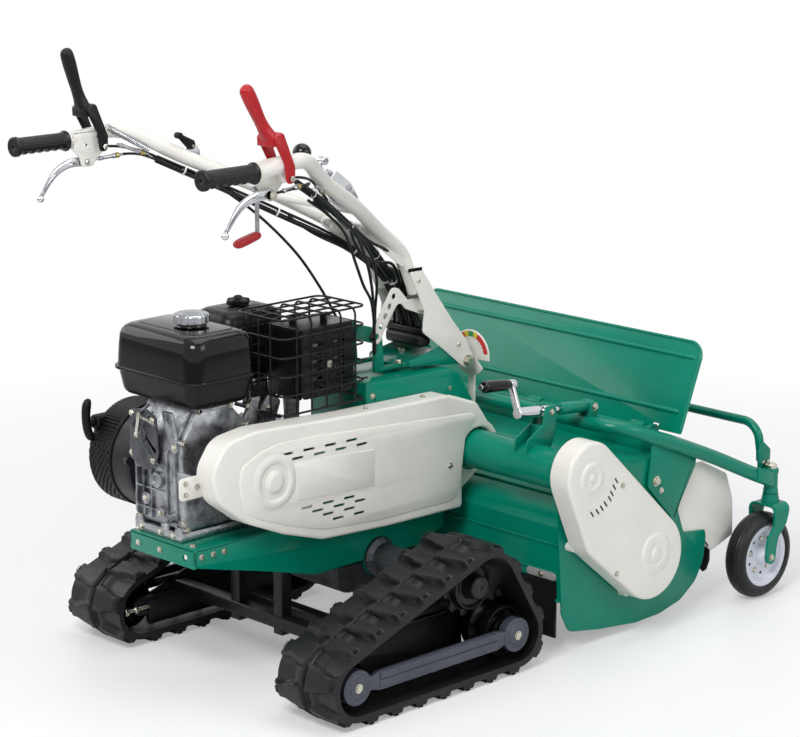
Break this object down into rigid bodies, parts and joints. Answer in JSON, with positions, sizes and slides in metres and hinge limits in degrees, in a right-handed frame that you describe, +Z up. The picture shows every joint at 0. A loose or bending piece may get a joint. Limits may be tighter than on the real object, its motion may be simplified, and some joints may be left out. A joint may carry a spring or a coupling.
{
  "type": "tracked hammer knife mower",
  "caption": "Walk-behind flail mower on rubber tracks: rear engine with belt covers, front knife deck with deflector flap, caster wheel arm, swinging handle with clutch and steering levers.",
  "frame": {"origin": "on the ground under the middle of the machine's bounding box", "axes": "+Y forward, from the handle grips to the caster wheels; +X to the machine's right; +Z up"},
  "size_m": [0.92, 1.49, 1.2134],
  "materials": {
    "green_paint": "glossy teal green paint",
    "white_paint": "glossy warm white paint",
    "satin_black_paint": "satin black paint",
    "gear_case": "rough cast metal",
    "moulded_black": "matte black moulding",
    "gloss_black": "gloss black",
    "wheel_iron": "black cast iron",
    "steel": "zinc plated steel",
    "chrome": "polished chrome",
    "red_paint": "glossy red coating",
    "black_paint": "glossy black coating",
    "rubber": "matte black rubber",
    "tyre": "matte black tyre rubber"
  },
  "bodies": {
    "machine": {"chassis_frame": "green_paint", "gearbox": "gear_case", "undercarriage_frame": "satin_black_paint", "left_track_belt": "rubber", "right_track_belt": "rubber", "engine_block": "gear_case", "recoil_housing": "moulded_black", "fuel_tank": "gloss_black", "air_cleaner": "moulded_black", "muffler": "satin_black_paint", "muffler_guard": "satin_black_paint", "belt_cover": "white_paint", "drive_belt": "rubber", "side_belt": "rubber", "side_belt_cover": "white_paint", "deck_shell": "green_paint", "rear_rubber_flap": "rubber", "front_rubber_skirt": "rubber", "left_guard_plate": "white_paint", "right_guard_plate": "white_paint", "column_base": "green_paint", "slope_gauge": "white_paint"},
    "left_sprocket": {"left_drive_sprocket": "wheel_iron"},
    "right_sprocket": {"right_drive_sprocket": "wheel_iron"},
    "left_idler": {"left_rear_idler": "wheel_iron"},
    "right_idler": {"right_rear_idler": "wheel_iron"},
    "left_roller": {"left_front_roller": "wheel_iron"},
    "right_roller": {"right_front_roller": "wheel_iron"},
    "crankshaft": {"crankshaft_pulley": "steel"},
    "jackshaft": {"jackshaft": "steel"},
    "knife_rotor": {"knife_rotor": "steel"},
    "recoil_pull": {"recoil_handle": "moulded_black"},
    "fuel_cap": {"fuel_cap": "moulded_black"},
    "air_cleaner_nut": {"air_cleaner_nut": "moulded_black"},
    "handle_turret": {"handle_turret": "green_paint"},
    "handle": {"handle_column": "white_paint", "handlebar": "white_paint", "left_grip": "rubber", "right_grip": "rubber", "control_cables": "rubber"},
    "drive_clutch_lever": {"drive_clutch_lever": "black_paint"},
    "knife_clutch_lever": {"knife_clutch_lever": "red_paint"},
    "left_steering_lever": {"left_steering_lever": "chrome"},
    "right_steering_lever": {"right_steering_lever": "chrome"},
    "gear_shift_lever": {"gear_shift_lever": "moulded_black"},
    "throttle_lever": {"throttle_lever": "moulded_black"},
    "handle_lock_lever": {"handle_lock_lever": "red_paint"},
    "slope_pendulum": {"slope_pendulum": "steel"},
    "front_flap": {"front_flap": "green_paint"},
    "wheel_arm": {"wheel_arm": "green_paint", "front_guard_bar": "green_paint"},
    "height_link": {"height_link": "green_paint"},
    "height_crank": {"height_crank": "steel"},
    "crank_knob": {"crank_knob": "moulded_black"},
    "left_caster": {"left_caster_fork": "green_paint"},
    "right_caster": {"right_caster_fork": "green_paint"},
    "left_caster_wheel": {"left_caster_wheel": "white_paint", "left_caster_tyre": "tyre"},
    "right_caster_wheel": {"right_caster_wheel": "white_paint", "right_caster_tyre": "tyre"}
  },
  "joints": [
    {"name": "left_sprocket_spin", "type": "hinge", "parent": "machine", "child": "left_sprocket", "pos_m": [-0.32, -0.145, 0.187], "axis": [1, 0, 0], "continuous": true},
    {"name": "left_idler_spin", "type": "hinge", "parent": "machine", "child": "left_idler", "pos_m": [-0.32, -0.488, 0.077], "axis": [1, 0, 0], "continuous": true},
    {"name": "left_roller_spin", "type": "hinge", "parent": "machine", "child": "left_roller", "pos_m": [-0.32, -0.063, 0.077], "axis": [1, 0, 0], "continuous": true},
    {"name": "right_sprocket_spin", "type": "hinge", "parent": "machine", "child": "right_sprocket", "pos_m": [0.32, -0.145, 0.187], "axis": [1, 0, 0], "continuous": true},
    {"name": "right_idler_spin", "type": "hinge", "parent": "machine", "child": "right_idler", "pos_m": [0.32, -0.488, 0.077], "axis": [1, 0, 0], "continuous": true},
    {"name": "right_roller_spin", "type": "hinge", "parent": "machine", "child": "right_roller", "pos_m": [0.32, -0.063, 0.077], "axis": [1, 0, 0], "continuous": true},
    {"name": "knife_rotor_spin", "type": "hinge", "parent": "machine", "child": "knife_rotor", "pos_m": [0, 0.281, 0.182], "axis": [1, 0, 0], "continuous": true},
    {"name": "jackshaft_spin", "type": "hinge", "parent": "machine", "child": "jackshaft", "pos_m": [0.427, 0.084, 0.377], "axis": [1, 0, 0], "continuous": true},
    {"name": "crankshaft_spin", "type": "hinge", "parent": "machine", "child": "crankshaft", "pos_m": [0.101, -0.475, 0.42], "axis": [1, 0, 0], "continuous": true},
    {"name": "recoil_pull", "type": "slide", "parent": "machine", "child": "recoil_pull", "axis": [0, -1, 0], "range_m": [0, 0.5], "stiffness_N_per_m": 12, "springref_m": -0.25},
    {"name": "fuel_cap_turn", "type": "hinge", "parent": "machine", "child": "fuel_cap", "pos_m": [-0.04, -0.515, 0.704], "axis": [0, 0, 1], "range_deg": [0, 120]},
    {"name": "air_cleaner_nut_turn", "type": "hinge", "parent": "machine", "child": "air_cleaner_nut", "pos_m": [-0.111, -0.339, 0.7], "axis": [0, 0, 1], "continuous": true},
    {"name": "handle_swing", "type": "hinge", "parent": "machine", "child": "handle_turret", "pos_m": [0, -0.005, 0.552], "axis": [0, 0, 1], "range_deg": [-30, 30]},
    {"name": "handle_tilt", "type": "hinge", "parent": "handle_turret", "child": "handle", "pos_m": [0, 0.126, 0.542], "axis": [1, 0, 0], "range_deg": [-8, 10]},
    {"name": "drive_clutch_lever_press", "type": "hinge", "parent": "handle", "child": "drive_clutch_lever", "pos_m": [-0.27, -0.553, 1.021], "axis": [1, 0, 0], "range_deg": [0, 25], "stiffness_Nm_per_rad": 2.5, "springref_deg": -34.38},
    {"name": "knife_clutch_lever_press", "type": "hinge", "parent": "handle", "child": "knife_clutch_lever", "pos_m": [0.27, -0.553, 1.021], "axis": [1, 0, 0], "range_deg": [0, 25], "stiffness_Nm_per_rad": 2.5, "springref_deg": -34.38},
    {"name": "left_steering_lever_squeeze", "type": "hinge", "parent": "handle", "child": "left_steering_lever", "pos_m": [-0.27, -0.585, 0.993], "axis": [1, 0, 0], "range_deg": [-20, 0], "stiffness_Nm_per_rad": 0.8, "springref_deg": 28.65},
    {"name": "right_steering_lever_squeeze", "type": "hinge", "parent": "handle", "child": "right_steering_lever", "pos_m": [0.27, -0.585, 0.993], "axis": [1, 0, 0], "range_deg": [-20, 0], "stiffness_Nm_per_rad": 0.8, "springref_deg": 28.65},
    {"name": "gear_shift", "type": "hinge", "parent": "handle", "child": "gear_shift_lever", "pos_m": [0.048, -0.243, 0.906], "axis": [1, 0, 0], "range_deg": [-12, 12]},
    {"name": "throttle", "type": "hinge", "parent": "handle", "child": "throttle_lever", "pos_m": [-0.2, -0.378, 1.01], "axis": [1, 0, 0], "range_deg": [-25, 0]},
    {"name": "handle_lock_squeeze", "type": "hinge", "parent": "handle", "child": "handle_lock_lever", "pos_m": [0.233, -0.584, 1.002], "axis": [1, 0, 0], "range_deg": [-20, 0], "stiffness_Nm_per_rad": 0.6, "springref_deg": 28.65},
    {"name": "slope_pendulum_swing", "type": "hinge", "parent": "machine", "child": "slope_pendulum", "pos_m": [0.036, 0.163, 0.545], "axis": [0, 1, 0], "range_deg": [-40, 40]},
    {"name": "front_flap_fold", "type": "hinge", "parent": "machine", "child": "front_flap", "pos_m": [0, 0.4, 0.396], "axis": [1, 0, 0], "range_deg": [-65, 0]},
    {"name": "wheel_arm_tilt", "type": "hinge", "parent": "machine", "child": "wheel_arm", "pos_m": [0, 0.341, 0.309], "axis": [1, 0, 0], "range_deg": [-6, 6]},
    {"name": "height_link_turn", "type": "hinge", "parent": "wheel_arm", "child": "height_link", "pos_m": [0.285, 0.256, 0.465], "axis": [1, 0, 0], "range_deg": [-11, 11]},
    {"name": "height_crank_turn", "type": "hinge", "parent": "height_link", "child": "height_crank", "pos_m": [0.285, 0.256, 0.465], "axis": [0, 0.9956, -0.0941], "range_deg": [-360, 360]},
    {"name": "crank_knob_spin", "type": "hinge", "parent": "height_crank", "child": "crank_knob", "pos_m": [0.25964, 0.04608, 0.53946], "axis": [0, 0.9956, -0.0941], "continuous": true},
    {"name": "left_caster_swivel", "type": "hinge", "parent": "wheel_arm", "child": "left_caster", "pos_m": [-0.42, 0.688, 0.277], "axis": [0, 0, 1], "range_deg": [-270, 5]},
    {"name": "left_caster_roll", "type": "hinge", "parent": "left_caster", "child": "left_caster_wheel", "pos_m": [-0.42, 0.652, 0.093], "axis": [1, 0, 0], "continuous": true},
    {"name": "right_caster_swivel", "type": "hinge", "parent": "wheel_arm", "child": "right_caster", "pos_m": [0.42, 0.688, 0.277], "axis": [0, 0, 1], "range_deg": [-5, 270]},
    {"name": "right_caster_roll", "type": "hinge", "parent": "right_caster", "child": "right_caster_wheel", "pos_m": [0.42, 0.652, 0.093], "axis": [1, 0, 0], "continuous": true}
  ],
  "couplings": [
    {"joint": "left_idler_spin", "follows": "left_sprocket_spin", "ratio": 1.2692},
    {"joint": "left_roller_spin", "follows": "left_sprocket_spin", "ratio": 1.2692},
    {"joint": "right_idler_spin", "follows": "right_sprocket_spin", "ratio": 1.2692},
    {"joint": "right_roller_spin", "follows": "right_sprocket_spin", "ratio": 1.2692},
    {"joint": "jackshaft_spin", "follows": "knife_rotor_spin", "ratio": 1.2778},
    {"joint": "crankshaft_spin", "follows": "knife_rotor_spin", "ratio": 1.1561},
    {"joint": "height_link_turn", "follows": "wheel_arm_tilt", "ratio": -1.75},
    {"joint": "height_crank_turn", "follows": "wheel_arm_tilt", "ratio": 60}
  ]
}
